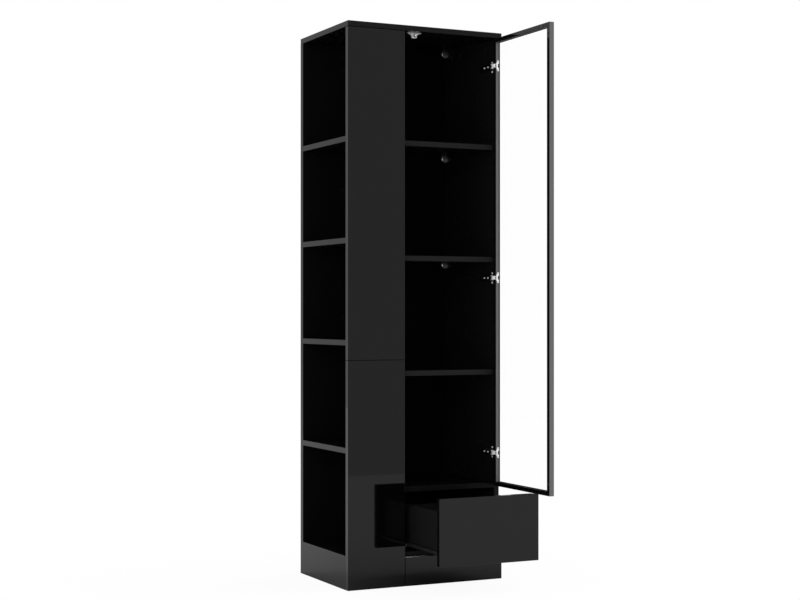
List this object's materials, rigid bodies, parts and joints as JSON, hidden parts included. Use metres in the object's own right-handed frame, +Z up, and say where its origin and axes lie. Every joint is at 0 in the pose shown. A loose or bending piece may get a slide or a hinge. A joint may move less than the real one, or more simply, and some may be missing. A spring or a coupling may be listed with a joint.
{
  "type": "bookcase with glass door",
  "caption": "Tall gloss-black bookcase: open side column, framed glass door on concealed hinges, drawer on roller runners below.",
  "frame": {"origin": "on the floor, halfway along the cabinet, under the middle of its rear plinth rail", "axes": "+Z up, +Y to the back (wall), +X to the right as seen from the front"},
  "size_m": [0.586, 0.7776, 1.9],
  "materials": {
    "gloss_board": "mirror-gloss black lacquer on 18 mm board",
    "black_board": "semi-gloss black lacquer on 18 mm board",
    "black_sheet": "satin black thin hardboard",
    "drawer_board": "satin black foil on 12 mm board",
    "door_frame": "gloss black lacquer with satin dark grey edges",
    "clear_glass": "clear float glass",
    "seal_rubber": "soft black",
    "hinge_steel": "nickel plated",
    "screw_steel": "zinc plated",
    "cam_zinc": "die-cast zinc",
    "beech": "bare beech",
    "latch_plastic": "grey moulded plastic",
    "black_steel": "black powder coat",
    "roller_plastic": "nylon"
  },
  "bodies": {
    "carcass": {"cabinet_runners": "black_steel", "cabinet_shelf_1": "black_board", "cabinet_shelf_2": "black_board", "cabinet_shelf_3": "black_board", "cam_locks": "cam_zinc", "drawer_deck": "black_board", "fixed_front_lower": "gloss_board", "fixed_front_upper": "gloss_board", "front_brackets": "hinge_steel", "hinge_adjusters": "screw_steel", "hinge_arms": "hinge_steel", "hinge_plates": "hinge_steel", "joint_dowels": "beech", "latch_body": "latch_plastic", "left_bottom_board": "black_board", "left_plinth_side": "black_board", "left_rear_board": "black_board", "partition_panel": "black_board", "plinth_front": "gloss_board", "plinth_rear_left": "black_board", "plinth_rear_right": "black_board", "rear_top_rail": "black_board", "right_back_sheet": "black_sheet", "right_bottom_board": "black_board", "right_side_panel": "black_board", "shelf_pins": "black_steel", "side_shelf_1": "black_board", "side_shelf_2": "black_board", "side_shelf_3": "black_board", "side_shelf_4": "black_board", "top_panel": "black_board", "wood_screws": "screw_steel"},
    "door": {"door_free_stile": "door_frame", "door_hinge_stile": "door_frame", "door_top_rail": "door_frame", "door_bottom_rail": "door_frame", "door_glass": "clear_glass", "door_glass_seal": "seal_rubber", "door_frame_dowels": "beech", "hinge_cups": "hinge_steel", "hinge_cup_screws": "screw_steel", "door_strike_plate": "black_steel", "door_bumpers": "seal_rubber"},
    "hinge_links": {"hinge_links": "hinge_steel"},
    "latch_plunger": {"latch_plunger": "latch_plastic"},
    "drawer": {"drawer_front": "gloss_board", "drawer_left_side": "drawer_board", "drawer_right_side": "drawer_board", "drawer_back": "drawer_board", "drawer_bottom": "black_sheet", "drawer_cams": "cam_zinc", "drawer_screws": "screw_steel", "drawer_bumpers": "seal_rubber", "drawer_runners": "black_steel"},
    "front_rollers": {"front_rollers": "roller_plastic"},
    "rear_rollers": {"rear_rollers": "roller_plastic"}
  },
  "joints": [
    {"name": "door_hinge", "type": "hinge", "parent": "carcass", "child": "door", "pos_m": [0.284, -0.4036, 0], "axis": [0, 0, 1], "range_deg": [-90, 10]},
    {"name": "hinge_link_turn", "type": "hinge", "parent": "carcass", "child": "hinge_links", "pos_m": [0.284, -0.4036, 0], "axis": [0, 0, 1], "range_deg": [-47.5, 5.5]},
    {"name": "latch_push", "type": "slide", "parent": "carcass", "child": "latch_plunger", "axis": [0, 1, 0], "range_m": [0, 0.003], "stiffness_N_per_m": 500, "springref_m": -0.002},
    {"name": "drawer_slide", "type": "slide", "parent": "carcass", "child": "drawer", "axis": [0, -1, 0], "range_m": [-0.251, 0.01]},
    {"name": "front_roller_turn", "type": "hinge", "parent": "carcass", "child": "front_rollers", "pos_m": [0, -0.3698, 0.1352], "axis": [1, 0, 0], "range_deg": [-1930, 90]},
    {"name": "rear_roller_turn", "type": "hinge", "parent": "drawer", "child": "rear_rollers", "pos_m": [0, -0.281, 0.133], "axis": [1, 0, 0], "range_deg": [-1530, 75]}
  ],
  "couplings": [
    {"joint": "hinge_link_turn", "follows": "door_hinge", "ratio": 0.525},
    {"joint": "front_roller_turn", "follows": "drawer_slide", "rad_per_m": 133.33},
    {"joint": "rear_roller_turn", "follows": "drawer_slide", "rad_per_m": 105.26}
  ]
}
